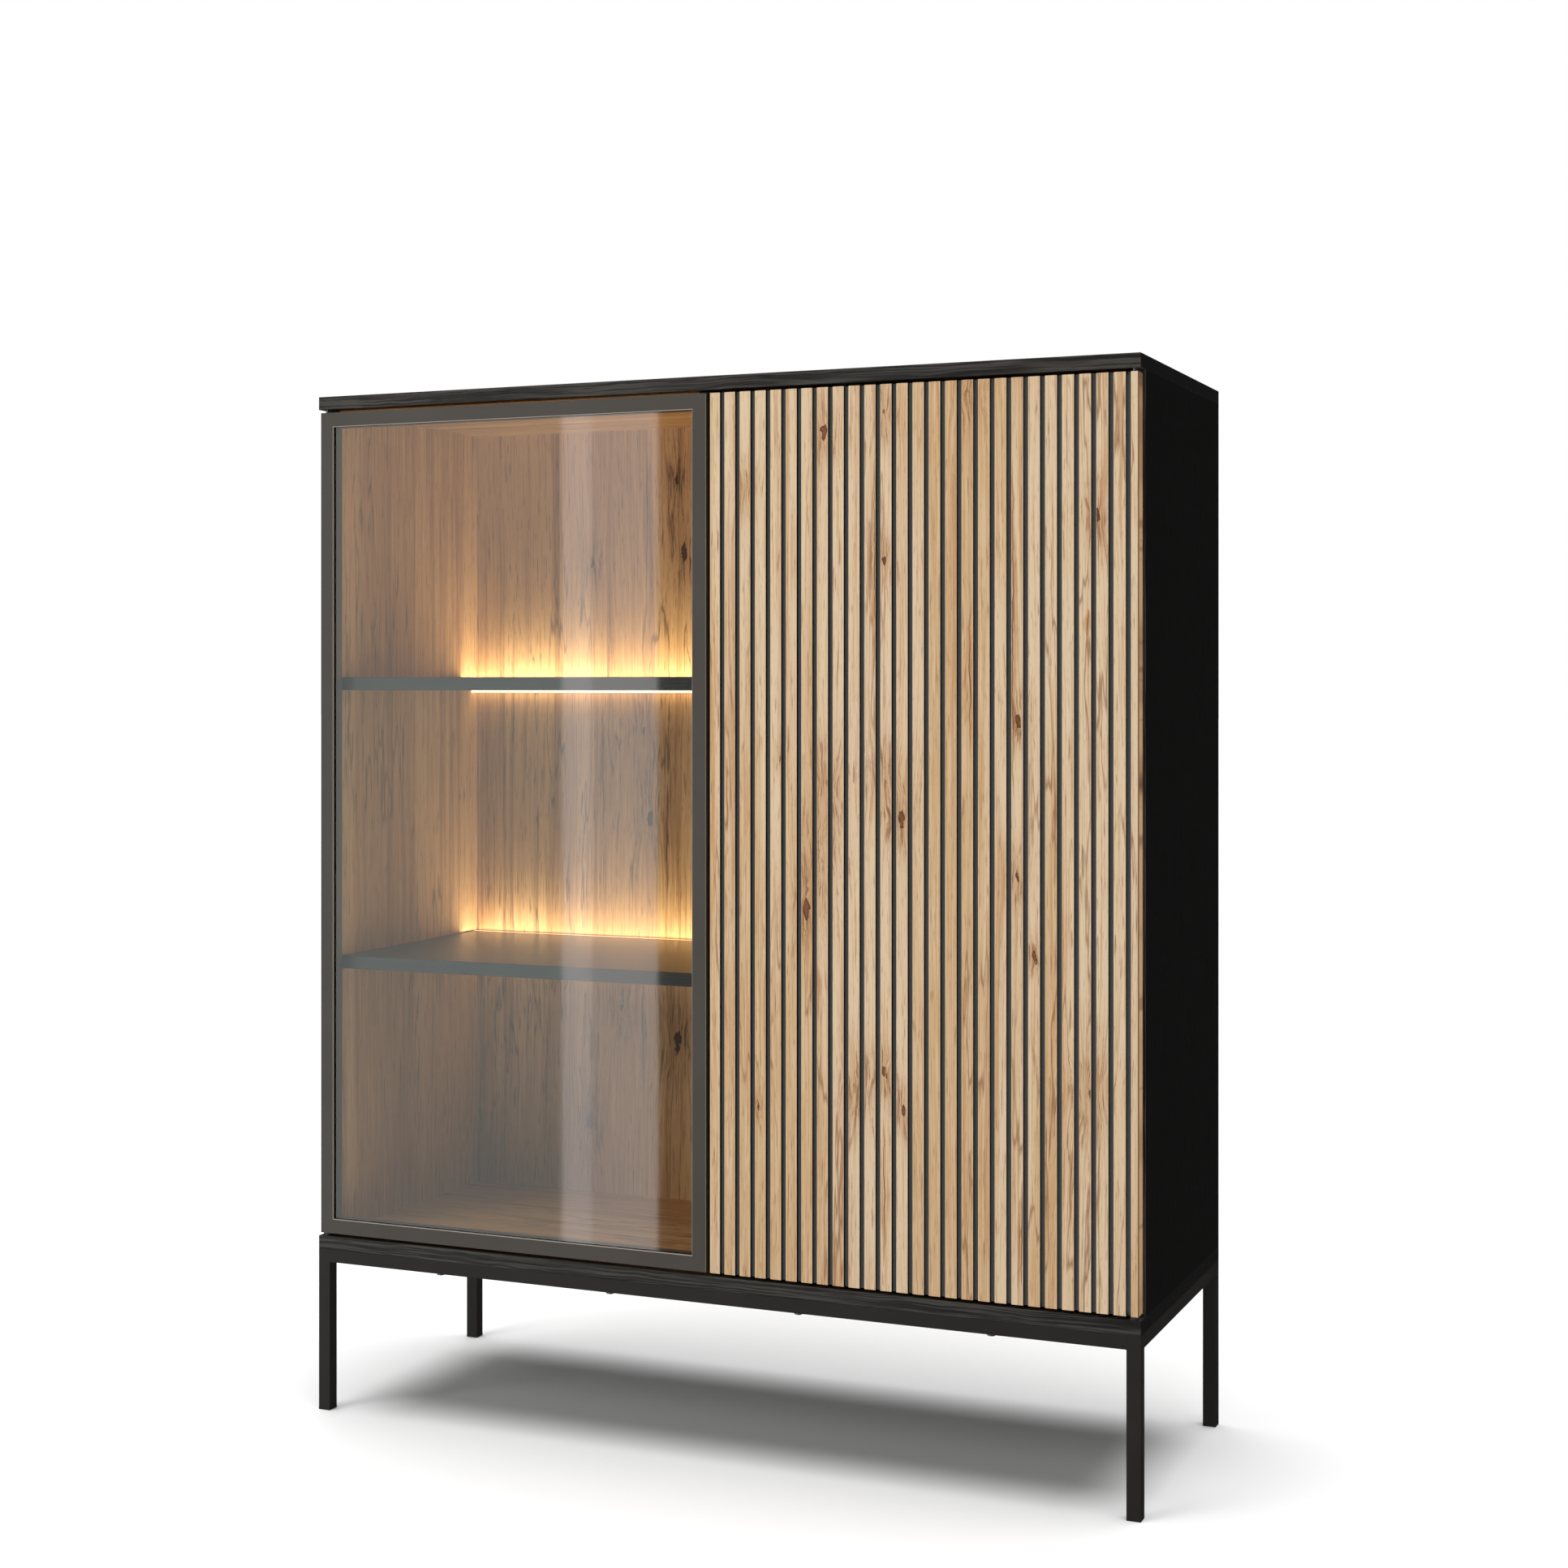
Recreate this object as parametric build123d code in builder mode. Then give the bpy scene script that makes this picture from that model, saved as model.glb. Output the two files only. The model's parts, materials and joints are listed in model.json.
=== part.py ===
from build123d import *
import os
from math import pi

# Highboard display cabinet: a carcass on a steel tube frame, with a lit bay behind a
# glass door on the left and a bay behind a slatted door on the right.
# X runs left to right, -Y is the front, Z is up; the origin is on the floor, under the
# middle of the cabinet. All sizes are in millimetres.

# Overall sizes
width = 1040
depth = 382
height = 1257
base_height = 200

# Boards
board = 16
board_edge_radius = 0.4
back_thickness = 5
back_joint_gap = 1
back_inset = 15
groove_depth = 6
carcass_inset = 22
divider_x = 10
shelf_levels = {"upper": 893, "lower": 546}
shelf_gap = 0.5
shelf_front_inset = 24
lit_shelf_depth = 326
plain_shelf_depth = 341

# Doors
door_thickness = 20
door_side_inset = 3
door_end_gap = 4
door_middle_gap = 5
stile = 18
frame_wall = 1.5
glass_groove_front = 3
glass_groove_width = 5
glass_groove_depth = 8
glass_thickness = 4
glass_hold = 6
slat_thickness = 4.5
first_slat = 12.65
slat_pitch = 19.127
slat_groove = 5.74
slat_bevel = 0.5
frame_edge_radius = 0.5
window_bevel = 0.8
chamber_front = 9.5
pane_chamfer = 0.4
cleat_leg = 34
cleat_inset = 0.4

# Pivot hinges
pivot_from_edge = 5.5
pivot_from_front = 7.5
pin_radius = 2.5
bush_bore = 2.55
pin_reach = 12
plate_thickness = 3
bush_radius = 5
bush_depth = 10
flange_radius = 7
flange_thickness = 1.2
thrust_collar = 3.9
plate_front = 1.5
bush_floor = 1

# Push latches
latch_width = 12
latch_drop = 14.5
latch_length = 60
latch_front = 22.5
latch_axis_drop = 9
plunger_radius = 3.5
plunger_bore = 3.55
plunger_gap = 0.3
plunger_head = 25
plunger_tail = 31
plunger_tip_radius = 0.8
tail_radius = 1.4
strike_radius = 4.5
strike_thickness = 1
latch_from_divider = 7
latch_end_wall = 2.5
latch_chamfer = 1.5
peg_radius = 2.5
peg_length = 9
peg_inset = 12
spring_pitch = 4
spring_radius = 2.6
spring_length = 28
spring_from_shoulder = 4
wire_radius = 0.4

# Steel base
tube = 16
tube_wall = 1.5
tube_edge_radius = 0.4
foot_flange = 2
foot_plug = 12
foot_chamfer = 0.6
frame_screw_bite = 9
screw_head_height = 2.5
screw_head_radius = 4.5
screw_radius = 2.2
screw_clearance = 2.5
rail_screw_xs = (-350, -120, 120, 350)

# Lighting
profile_depth = 7
profile_slot = 4
profile_slot_wall = 2
lip = 4
lens = 4
lens_sunk = 2
strip_light_thickness = 1
dark_end = 35
lead_radius = 1.5
lead_clearance = 0.5
lead_plane = 377
lead_bend = 4.5
lead_turn = 25
lead_from_divider = {"upper": 18, "lower": 26}
lead_turn_z = {"upper": 244, "lower": 258}
clip_half = 4
clip_half_width = 3.5
clip_over_lead = 2.6
upright_clips = {"upper": (820, 640, 450, 330), "lower": (480, 360)}
level_clips = (-120, -240)

# Lighting driver
driver_from_side = 50
driver_length = 150
driver_thickness = 9
driver_bottom = 231
driver_height = 40
driver_chamfer = 2
driver_edge_radius = 1
ear_width = 9
ear_thickness = 3
ear_half_height = 4
ear_from_top = 6
ear_hole_radius = 1.8
ear_head_radius = 3
ear_head_height = 1.8
entry_radius = 2.6
entry_depth = 6
entry_height = 12

# Hardware
dowel_radius = 4
dowel_depths = (60, 150, 240, 340)
board_dowel_hole = 10
upright_dowel_hole = 20
shelf_pin_radius = 2.5
shelf_pin_depths = (60, 310)
shelf_pin_sunk = 7
shelf_pin_out = 9
shelf_pin_play = 0.1
pocket_half_width = 2.7
pocket_length = 10

# Strip and screws over the joint of the two back panels
strip_half_width = 20
strip_thickness = 2
strip_screw_radius = 1.5
strip_screw_offset = 4
strip_screw_bite = 14
strip_screw_levels = (260, 500, 740, 980, 1200)
strip_head_height = 1.6
strip_head_radius = 2.8

# Places worked out from the sizes above
left = -width / 2
right = width / 2
front = -depth / 2
floor_z = base_height + board
ceiling_z = height - board
inner_left = left + board
inner_right = right - board
divider_left = divider_x - board / 2
divider_right = divider_x + board / 2
back_face = depth - back_inset
door_bottom = floor_z + door_end_gap
door_top = ceiling_z - door_end_gap
glass_left = left + door_side_inset
glass_right = divider_x - door_middle_gap / 2
slat_left = divider_x + door_middle_gap / 2
slat_right = right - door_side_inset
pivot_x = {"glass": glass_left + pivot_from_edge, "slat": slat_right - pivot_from_edge}
latch_x = {"glass": divider_left - latch_from_divider, "slat": divider_right + latch_from_divider}
latch_z = ceiling_z - latch_axis_drop

os.makedirs("parts", exist_ok=True)


def at(x, behind_front, z):
    """A point given by how far it lies behind the front of the cabinet."""
    return (x, front + behind_front, z)


def block(low, high, mode=Mode.ADD):
    """Add or cut the box between two corners given with at()."""
    middle = [(a + b) / 2 for a, b in zip(low, high)]
    sides = [b - a for a, b in zip(low, high)]
    with Locations(tuple(middle)):
        Box(*sides, mode=mode)


def rod(start, end, radius, mode=Mode.ADD):
    """Add or cut a cylinder between two points given with at()."""
    axis = Vector(*end) - Vector(*start)
    with Locations(Plane(origin=start, z_dir=axis)):
        Cylinder(radius, axis.length, align=(Align.CENTER, Align.CENTER, Align.MIN), mode=mode)


def save(piece, name):
    """Label a finished piece and write its STEP file."""
    piece.label = name
    export_step(piece, f"parts/{name}.step")


# Dowels join each upright to the top and bottom boards.
upright_centres = (left + board / 2, divider_x, right - board / 2)


def dowels_through(x, joint_z, mode):
    """The row of dowels, or their holes, across one joint between board and upright."""
    into_upright = upright_dowel_hole if joint_z < height / 2 else -upright_dowel_hole
    into_board = -board_dowel_hole if joint_z < height / 2 else board_dowel_hole
    for behind in dowel_depths:
        rod(at(x, behind, joint_z + into_board), at(x, behind, joint_z + into_upright), dowel_radius, mode)


with BuildPart() as dowels:
    for centre in upright_centres:
        for joint in (floor_z, ceiling_z):
            dowels_through(centre, joint, Mode.ADD)
save(dowels.part, "dowels")

# Base frame of square tube, with plugs for feet and screws up into the bottom board
tube_places = {"front": 0, "rear": depth - tube}
side_places = {"left": left, "right": right - tube}
rail_bottom = base_height - tube
screw_top = base_height + frame_screw_bite
rail_centres = (tube / 2, depth - tube / 2)
frame_screw_spots = [(x, behind) for x in rail_screw_xs for behind in rail_centres]
frame_screw_spots += [(left + tube / 2, depth / 2), (right - tube / 2, depth / 2)]

for side, x in side_places.items():
    for end, behind in tube_places.items():
        with BuildPart() as leg:
            block(at(x, behind, foot_flange), at(x + tube, behind + tube, base_height))
            fillet(leg.edges().filter_by(Axis.Z), tube_edge_radius)
            inside_low = at(x + tube_wall, behind + tube_wall, foot_flange)
            inside_high = at(x + tube - tube_wall, behind + tube - tube_wall, base_height)
            block(inside_low, inside_high, Mode.SUBTRACT)
        save(leg.part, f"{end}_{side}_leg")

        with BuildPart() as foot:
            block(at(x, behind, 0), at(x + tube, behind + tube, foot_flange))
            block(inside_low, at(x + tube - tube_wall, behind + tube - tube_wall, foot_flange + foot_plug))
            bottom_edges = foot.edges().group_by(Axis.Z)[0]
            chamfer(bottom_edges, foot_chamfer)
        save(foot.part, f"{end}_{side}_foot")

for end, behind in tube_places.items():
    with BuildPart() as cross_rail:
        block(at(left + tube, behind, rail_bottom), at(right - tube, behind + tube, base_height))
        fillet(cross_rail.edges().filter_by(Axis.X), tube_edge_radius)
        low = at(left + tube, behind + tube_wall, rail_bottom + tube_wall)
        high = at(right - tube, behind + tube - tube_wall, base_height - tube_wall)
        block(low, high, Mode.SUBTRACT)
        for x in rail_screw_xs:
            spot = behind + tube / 2
            rod(at(x, spot, rail_bottom), at(x, spot, base_height), screw_clearance, Mode.SUBTRACT)
    save(cross_rail.part, f"{end}_rail")

for side, x in side_places.items():
    with BuildPart() as side_rail:
        block(at(x, tube, rail_bottom), at(x + tube, depth - tube, base_height))
        fillet(side_rail.edges().filter_by(Axis.Y), tube_edge_radius)
        low = at(x + tube_wall, tube, rail_bottom + tube_wall)
        high = at(x + tube - tube_wall, depth - tube, base_height - tube_wall)
        block(low, high, Mode.SUBTRACT)
        hole_low = at(x + tube / 2, depth / 2, rail_bottom)
        rod(hole_low, at(x + tube / 2, depth / 2, base_height), screw_clearance, Mode.SUBTRACT)
    save(side_rail.part, f"{side}_rail")

with BuildPart() as frame_screws:
    for x, behind in frame_screw_spots:
        rod(at(x, behind, rail_bottom), at(x, behind, screw_top), screw_radius)
        rod(at(x, behind, rail_bottom - screw_head_height), at(x, behind, rail_bottom), screw_head_radius)
save(frame_screws.part, "frame_screws")


# Top and bottom boards
def pivot_bush(x, z_sign, mode, bored):
    """A flanged bush, or its seat, in the top (+1) or bottom (-1) board."""
    face = ceiling_z if z_sign > 0 else floor_z
    mouth = at(x, pivot_from_front, face)
    rod(mouth, at(x, pivot_from_front, face + z_sign * bush_depth), bush_radius, mode)
    rod(mouth, at(x, pivot_from_front, face + z_sign * flange_thickness), flange_radius, mode)
    if bored and z_sign < 0:
        rod(mouth, at(x, pivot_from_front, face + thrust_collar), bush_radius, mode)
    if bored:
        bore_start = at(x, pivot_from_front, face - z_sign * thrust_collar)
        bore_end = at(x, pivot_from_front, face + z_sign * (bush_depth - bush_floor))
        rod(bore_start, bore_end, bush_bore, Mode.SUBTRACT)


peg_depths = (latch_front + peg_inset, latch_front + latch_length - peg_inset)


def latch_pegs(x, mode):
    """The two pegs of a latch housing, or their holes in the top board."""
    for behind in peg_depths:
        rod(at(x, behind, ceiling_z), at(x, behind, ceiling_z + peg_length), peg_radius, mode)


with BuildPart() as top_board:
    block(at(left, 0, ceiling_z), at(right, depth, height))
    fillet(top_board.edges(), board_edge_radius)
    groove_end = at(inner_right + groove_depth, back_face + back_thickness, ceiling_z + groove_depth)
    block(at(inner_left - groove_depth, back_face, ceiling_z), groove_end, Mode.SUBTRACT)
    for centre in upright_centres:
        dowels_through(centre, ceiling_z, Mode.SUBTRACT)
    for door in ("glass", "slat"):
        pivot_bush(pivot_x[door], 1, Mode.SUBTRACT, bored=False)
        latch_pegs(latch_x[door], Mode.SUBTRACT)
save(top_board.part, "top_board")

with BuildPart() as bottom_board:
    block(at(left, 0, base_height), at(right, depth, floor_z))
    fillet(bottom_board.edges(), board_edge_radius)
    groove_end = at(inner_right + groove_depth, back_face + back_thickness, floor_z)
    block(at(inner_left - groove_depth, back_face, floor_z - groove_depth), groove_end, Mode.SUBTRACT)
    for centre in upright_centres:
        dowels_through(centre, floor_z, Mode.SUBTRACT)
    for door in ("glass", "slat"):
        pivot_bush(pivot_x[door], -1, Mode.SUBTRACT, bored=False)
    for x, behind in frame_screw_spots:
        rod(at(x, behind, base_height), at(x, behind, screw_top), screw_radius, Mode.SUBTRACT)
save(bottom_board.part, "bottom_board")


# Side panels and divider, drilled for the shelf pins
def shelf_pins_beside(face_x, outward, mode):
    """Pins, or their holes, for both shelves at an upright's face; outward is into the bay."""
    for underside in shelf_levels.values():
        axis_z = underside + shelf_pin_radius + shelf_pin_play
        for behind in shelf_pin_depths:
            sunk_end = at(face_x - outward * shelf_pin_sunk, behind, axis_z)
            free_end = at(face_x + outward * shelf_pin_out, behind, axis_z)
            rod(sunk_end, free_end, shelf_pin_radius, mode)


pin_faces = ((inner_left, 1), (divider_left, -1), (divider_right, 1), (inner_right, -1))

for side, outer_x, inner_x, inward in (("left", left, inner_left, 1), ("right", right, inner_right, -1)):
    with BuildPart() as side_panel:
        panel_low = at(min(outer_x, inner_x), carcass_inset, floor_z)
        panel_high = at(max(outer_x, inner_x), depth, ceiling_z)
        block(panel_low, panel_high)
        fillet(side_panel.edges().filter_by(Axis.Z), board_edge_radius)
        groove_x = inner_x - inward * groove_depth
        groove_low = at(min(inner_x, groove_x), back_face, floor_z)
        groove_high = at(max(inner_x, groove_x), back_face + back_thickness, ceiling_z)
        block(groove_low, groove_high, Mode.SUBTRACT)
        dowels_through((outer_x + inner_x) / 2, floor_z, Mode.SUBTRACT)
        dowels_through((outer_x + inner_x) / 2, ceiling_z, Mode.SUBTRACT)
        shelf_pins_beside(inner_x, inward, Mode.SUBTRACT)
    save(side_panel.part, f"{side}_side_panel")

# The back panels meet behind the divider under a screwed joint strip.
strip_screw_xs = (divider_x - strip_screw_offset, divider_x + strip_screw_offset)
strip_screw_start = back_face - strip_screw_bite
strip_back = back_face + back_thickness + strip_thickness


def strip_screws(start, end, radius, mode):
    """The two rows of screws through strip and back panels, or their holes."""
    for x in strip_screw_xs:
        for z in strip_screw_levels:
            rod(at(x, start, z), at(x, end, z), radius, mode)


with BuildPart() as centre_divider:
    block(at(divider_left, carcass_inset, floor_z), at(divider_right, back_face, ceiling_z))
    fillet(centre_divider.edges().filter_by(Axis.Z).group_by(Axis.Y)[0], board_edge_radius)
    dowels_through(divider_x, floor_z, Mode.SUBTRACT)
    dowels_through(divider_x, ceiling_z, Mode.SUBTRACT)
    shelf_pins_beside(divider_left, -1, Mode.SUBTRACT)
    shelf_pins_beside(divider_right, 1, Mode.SUBTRACT)
    strip_screws(strip_screw_start, back_face, strip_screw_radius, Mode.SUBTRACT)
save(centre_divider.part, "centre_divider")

with BuildPart() as back_strip_screws:
    strip_screws(strip_screw_start, strip_back, strip_screw_radius, Mode.ADD)
    strip_screws(strip_back, strip_back + strip_head_height, strip_head_radius, Mode.ADD)
save(back_strip_screws.part, "back_strip_screws")

with BuildPart() as back_joint_strip:
    strip_left = divider_x - strip_half_width
    strip_right = divider_x + strip_half_width
    block(at(strip_left, back_face + back_thickness, floor_z), at(strip_right, strip_back, ceiling_z))
    strip_screws(back_face, strip_back, strip_screw_radius, Mode.SUBTRACT)
save(back_joint_strip.part, "back_joint_strip")

# Lighting leads run behind the left back panel, from each lit shelf to the driver.
back_panel_rear = back_face + back_thickness
driver_left = left + driver_from_side
driver_right = driver_left + driver_length
driver_top = driver_bottom + driver_height
lead_xs = {level: divider_left - distance for level, distance in lead_from_divider.items()}
profile_back = shelf_front_inset + lit_shelf_depth + profile_depth

with BuildPart() as left_back_panel:
    panel_low = at(inner_left - groove_depth, back_face, floor_z - groove_depth)
    panel_high = at(divider_x - back_joint_gap / 2, back_face + back_thickness, ceiling_z + groove_depth)
    block(panel_low, panel_high)
    strip_screws(back_face, strip_back, strip_screw_radius, Mode.SUBTRACT)
    for level, underside in shelf_levels.items():
        x = lead_xs[level]
        hole_z = underside + board / 2
        hole_radius = lead_radius + lead_clearance
        rod(at(x, back_face, hole_z), at(x, strip_back, hole_z), hole_radius, Mode.SUBTRACT)
save(left_back_panel.part, "left_back_panel")

with BuildPart() as right_back_panel:
    panel_low = at(divider_x + back_joint_gap / 2, back_face, floor_z - groove_depth)
    panel_high = at(inner_right + groove_depth, back_face + back_thickness, ceiling_z + groove_depth)
    block(panel_low, panel_high)
    strip_screws(back_face, strip_back, strip_screw_radius, Mode.SUBTRACT)
save(right_back_panel.part, "right_back_panel")

# Shelves with pockets underneath for their pins
pocket_height = 2 * shelf_pin_radius + shelf_pin_play
bays = {
    "left": (inner_left + shelf_gap, divider_left - shelf_gap, lit_shelf_depth),
    "right": (divider_right + shelf_gap, inner_right - shelf_gap, plain_shelf_depth),
}

for side, (shelf_left, shelf_right, shelf_depth) in bays.items():
    for level, underside in shelf_levels.items():
        with BuildPart() as shelf:
            shelf_back = shelf_front_inset + shelf_depth
            shelf_high = at(shelf_right, shelf_back, underside + board)
            block(at(shelf_left, shelf_front_inset, underside), shelf_high)
            fillet(shelf.edges().filter_by(Axis.X).group_by(Axis.Y)[0], board_edge_radius)
            for behind in shelf_pin_depths:
                for pocket_left in (shelf_left, shelf_right - pocket_length):
                    pocket_low = at(pocket_left, behind - pocket_half_width, underside)
                    pocket_back = behind + pocket_half_width
                    pocket_high = at(pocket_left + pocket_length, pocket_back, underside + pocket_height)
                    block(pocket_low, pocket_high, Mode.SUBTRACT)
        save(shelf.part, f"{side}_{level}_shelf")

with BuildPart() as shelf_pins:
    for face_x, outward in pin_faces:
        shelf_pins_beside(face_x, outward, Mode.ADD)
save(shelf_pins.part, "shelf_pins")

# Light profiles along the back edges of the left shelves
light_left, light_right = bays["left"][:2]
profile_front = shelf_front_inset + lit_shelf_depth
lit_right = light_right - dark_end
slot_front = profile_back - profile_slot

for level, underside in shelf_levels.items():
    with BuildPart() as profile:
        block(at(light_left, profile_front, underside), at(light_right, profile_back, underside + board))
        slot_low = at(light_left, slot_front, underside + profile_slot_wall)
        slot_high = at(lit_right, profile_back, underside + board - profile_slot_wall)
        block(slot_low, slot_high, Mode.SUBTRACT)
    save(profile.part, f"{level}_led_profile")

    with BuildPart() as diffuser:
        block(at(light_left, profile_back - lens_sunk, underside + profile_slot_wall), slot_high)
        lens_high = at(lit_right, profile_back + lens, underside + board)
        block(at(light_left, profile_back, underside - lip), lens_high)
        block(at(light_left, profile_front, underside - lip), at(lit_right, profile_back, underside))
    save(diffuser.part, f"{level}_led_diffuser")

with BuildPart() as led_strips:
    for underside in shelf_levels.values():
        strip_margin = profile_slot_wall + 1
        strip_low = at(light_left, slot_front, underside + strip_margin)
        strip_high = at(lit_right, slot_front + strip_light_thickness, underside + board - strip_margin)
        block(strip_low, strip_high)
save(led_strips.part, "led_strips")

# Driver behind the left back panel, with two fixing ears and a plain round mains entry
ear_z = driver_top - ear_from_top
ear_xs = (driver_left - ear_width / 2, driver_right + ear_width / 2)
ear_rear = back_panel_rear + ear_thickness
entry_z = driver_bottom + entry_height
entry_depth_line = back_panel_rear + driver_thickness / 2

with BuildPart() as led_driver:
    driver_rear = back_panel_rear + driver_thickness
    block(at(driver_left, back_panel_rear, driver_bottom), at(driver_right, driver_rear, driver_top))
    chamfer(led_driver.edges().filter_by(Axis.Y), driver_chamfer)
    lid_edges = led_driver.faces().sort_by(Axis.Y)[-1].edges()
    fillet(lid_edges, driver_edge_radius)
    for ear_x in ear_xs:
        ear_low = at(ear_x - ear_width / 2, back_panel_rear, ear_z - ear_half_height)
        block(ear_low, at(ear_x + ear_width / 2, ear_rear, ear_z + ear_half_height))
        ear_front = at(ear_x, back_panel_rear, ear_z)
        rod(ear_front, at(ear_x, ear_rear, ear_z), ear_hole_radius, Mode.SUBTRACT)
    entry_inside = at(driver_left + entry_depth, entry_depth_line, entry_z)
    rod(at(driver_left, entry_depth_line, entry_z), entry_inside, entry_radius, Mode.SUBTRACT)
save(led_driver.part, "led_driver")

with BuildPart() as driver_screws:
    for ear_x in ear_xs:
        rod(at(ear_x, back_panel_rear, ear_z), at(ear_x, ear_rear, ear_z), ear_hole_radius)
        rod(at(ear_x, ear_rear, ear_z), at(ear_x, ear_rear + ear_head_height, ear_z), ear_head_radius)
save(driver_screws.part, "driver_screws")

# Each lead leaves its profile, turns down behind the panel and runs along to the driver.
for level, underside in shelf_levels.items():
    x = lead_xs[level]
    exit_z = underside + board / 2
    turn_z = lead_turn_z[level]
    route = [
        at(x, profile_back, exit_z),
        at(x, lead_plane, exit_z),
        at(x, lead_plane, turn_z),
        at(driver_right, lead_plane, turn_z),
    ]
    with BuildPart() as lead:
        with BuildLine() as path:
            FilletPolyline(*route, radius=[lead_bend, lead_turn])
        with BuildSketch(Plane(origin=route[0], z_dir=(0, 1, 0))):
            Circle(lead_radius)
        sweep()
    save(lead.part, f"{level}_led_lead")
    section = pi * lead_radius**2
    length = sum(edge.length for edge in path.edges())
    print(f"{level} lead: bends {lead_bend} and {lead_turn} mm, length {length:.1f} mm")
    print(f"  volume {lead.part.volume:.1f}, section times length {section * length:.1f}")

clip_back = lead_plane + clip_over_lead

with BuildPart() as lead_clips:
    for level, x in lead_xs.items():
        for z in upright_clips[level]:
            clip_low = at(x - clip_half_width, back_panel_rear, z - clip_half)
            block(clip_low, at(x + clip_half_width, clip_back, z + clip_half))
            rod(at(x, lead_plane, z - clip_half), at(x, lead_plane, z + clip_half), lead_radius, Mode.SUBTRACT)
    for z in lead_turn_z.values():
        for x in level_clips:
            clip_low = at(x - clip_half, back_panel_rear, z - clip_half)
            block(clip_low, at(x + clip_half, clip_back, z + clip_half))
            rod(at(x - clip_half, lead_plane, z), at(x + clip_half, lead_plane, z), lead_radius, Mode.SUBTRACT)
save(lead_clips.part, "lead_clips")

# Glass door: an aluminium frame of hollow bars, grooved for the pane
window_left = glass_left + stile
window_right = glass_right - stile
window_bottom = door_bottom + stile
window_top = door_top - stile
groove_back = glass_groove_front + glass_groove_width
chamber_back = door_thickness - frame_wall


def end_plate(low_x, high_x, plate_start, mode):
    """Plates, or their pockets, flush in the top and bottom ends of a door edge."""
    low = at(low_x, plate_start, door_top - plate_thickness)
    block(low, at(high_x, chamber_back, door_top), mode)
    low = at(low_x, plate_start, door_bottom)
    block(low, at(high_x, chamber_back, door_bottom + plate_thickness), mode)


def bevel_window():
    """Cut the bevel round the front of the window, mitred in its corners."""
    middle = at((window_left + window_right) / 2, 0, (window_bottom + window_top) / 2)
    with BuildSketch(Plane(origin=middle, x_dir=(1, 0, 0), z_dir=(0, 1, 0))) as outline:
        Rectangle(window_right - window_left + 2 * window_bevel, window_top - window_bottom + 2 * window_bevel)
    extrude(outline.sketch, amount=window_bevel, taper=45, mode=Mode.SUBTRACT)


def strike(x, mode):
    """The steel disc that a latch meets, or its seat, in a door's back face."""
    seat = at(x, door_thickness - strike_thickness, latch_z)
    rod(seat, at(x, door_thickness, latch_z), strike_radius, mode)


stiles = {
    "hinge": (glass_left, window_left, window_left - glass_groove_depth, window_left),
    "free": (window_right, glass_right, window_right, window_right + glass_groove_depth),
}
outer_edges = {"hinge": 0, "free": -1}
cleat_openings = {
    "hinge": (window_left - frame_wall, window_left),
    "free": (window_right, window_right + frame_wall),
}

for role, (low_x, high_x, groove_low_x, groove_high_x) in stiles.items():
    with BuildPart() as upright:
        block(at(low_x, 0, door_bottom), at(high_x, door_thickness, door_top))
        fillet(upright.edges().filter_by(Axis.Z).group_by(Axis.X)[outer_edges[role]], frame_edge_radius)
        groove_low = at(groove_low_x, glass_groove_front, door_bottom)
        block(groove_low, at(groove_high_x, groove_back, door_top), Mode.SUBTRACT)
        chamber_low = at(low_x + frame_wall, chamber_front, door_bottom)
        block(chamber_low, at(high_x - frame_wall, chamber_back, door_top), Mode.SUBTRACT)
        end_plate(low_x + frame_wall, high_x - frame_wall, plate_front, Mode.SUBTRACT)
        wall_low, wall_high = cleat_openings[role]
        for level_z in (door_bottom, window_top):
            opening_low = at(wall_low, chamber_front, level_z + frame_wall)
            opening_high = at(wall_high, chamber_back, level_z + stile - frame_wall)
            block(opening_low, opening_high, Mode.SUBTRACT)
        bevel_window()
        if role == "free":
            strike(latch_x["glass"], Mode.SUBTRACT)
    save(upright.part, f"glass_door_{role}_stile")

rail_bars = {
    "top": (window_top, door_top, window_top, window_top + glass_groove_depth),
    "bottom": (door_bottom, window_bottom, window_bottom - glass_groove_depth, window_bottom),
}

for role, (low_z, high_z, groove_low_z, groove_high_z) in rail_bars.items():
    with BuildPart() as door_rail:
        block(at(window_left, 0, low_z), at(window_right, door_thickness, high_z))
        groove_low = at(window_left, glass_groove_front, groove_low_z)
        block(groove_low, at(window_right, groove_back, groove_high_z), Mode.SUBTRACT)
        chamber_low = at(window_left, chamber_front, low_z + frame_wall)
        block(chamber_low, at(window_right, chamber_back, high_z - frame_wall), Mode.SUBTRACT)
        bevel_window()
    save(door_rail.part, f"glass_door_{role}_rail")

# Corner cleats lie in the hollow bars: one leg along the rail, the other along the stile.
cleat_back = chamber_back - cleat_inset
cleat_front = chamber_front + cleat_inset
cleat_bottom = door_bottom + plate_thickness + cleat_inset
cleat_top = door_top - plate_thickness - cleat_inset
cleat_window_bottom = window_bottom - frame_wall - cleat_inset
cleat_window_top = window_top + frame_wall + cleat_inset
cleat_ends = (
    (glass_left + frame_wall + cleat_inset, window_left + cleat_leg, glass_left, window_left),
    (window_right - cleat_leg, glass_right - frame_wall - cleat_inset, window_right, glass_right),
)

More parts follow.
